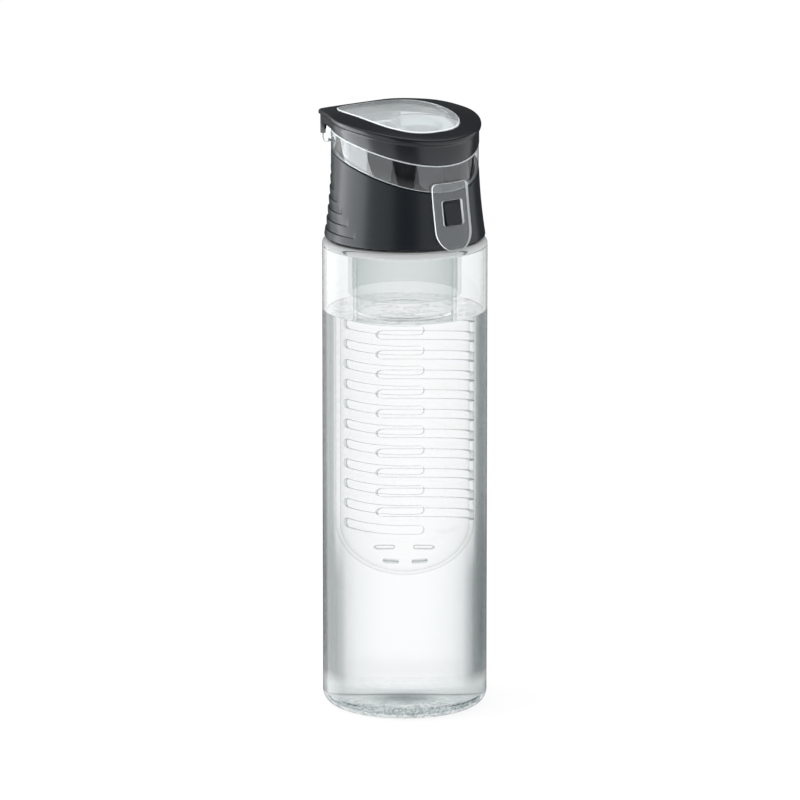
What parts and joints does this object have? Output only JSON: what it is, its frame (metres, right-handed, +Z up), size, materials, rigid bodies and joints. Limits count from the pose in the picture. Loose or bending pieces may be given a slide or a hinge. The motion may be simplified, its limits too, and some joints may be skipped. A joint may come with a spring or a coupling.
{
  "type": "infuser drinking bottle",
  "caption": "Clear drinking bottle with a screw cap, flip-up lid with latch, covered spout and a hanging slotted fruit strainer.",
  "frame": {"origin": "centre of the base's standing ring, on the bottle's axis", "axes": "+Z up along the bottle's axis; the latch faces -Y and the lid's hinge is at +Y; +X to the right seen from the latch side"},
  "size_m": [0.07, 0.0755, 0.2576],
  "materials": {
    "clear_bottle": "clear blow-moulded copolyester, glossy",
    "clear_basket": "clear injection-moulded copolyester, glossy",
    "clear_lid": "clear injection-moulded copolyester, polished",
    "clear_latch": "clear injection-moulded copolyester, polished",
    "frosted_holder": "frosted translucent polypropylene",
    "black_shell": "moulded black ABS, satin gloss",
    "black_insert": "moulded black polypropylene, fine matte",
    "black_frame": "moulded black ABS, satin gloss",
    "silicone": "soft dark grey silicone rubber",
    "pin_steel": "ground stainless steel pin"
  },
  "bodies": {
    "bottle": {"bottle_body": "clear_bottle"},
    "seal": {"neck_seal": "silicone"},
    "cap": {"cap_shell": "black_shell", "cap_insert": "black_insert", "infuser_holder": "frosted_holder", "hinge_pin": "pin_steel"},
    "lid": {"lid_body": "clear_lid", "lid_frame": "black_frame", "spout_plug": "silicone"},
    "latch": {"latch_tab": "clear_latch"},
    "infuser": {"infuser_basket": "clear_basket"}
  },
  "joints": [
    {"name": "cap_lift", "type": "slide", "parent": "bottle", "child": "seal", "axis": [0, 0, 1], "range_m": [0, 0.166]},
    {"name": "cap_turn", "type": "hinge", "parent": "seal", "child": "cap", "pos_m": [0, 0, 0.21], "axis": [0, 0, 1], "range_deg": [0, 450]},
    {"name": "lid_flip", "type": "hinge", "parent": "cap", "child": "lid", "pos_m": [0, 0.0339, 0.2428], "axis": [-1, 0, 0], "range_deg": [0, 110]},
    {"name": "latch_flex", "type": "hinge", "parent": "lid", "child": "latch", "pos_m": [0, -0.0315, 0.2311], "axis": [-1, 0, 0], "range_deg": [0, 12], "stiffness_Nm_per_rad": 0.3},
    {"name": "infuser_release", "type": "slide", "parent": "cap", "child": "infuser", "axis": [0, 0, -1], "range_m": [0, 0.04]}
  ]
}
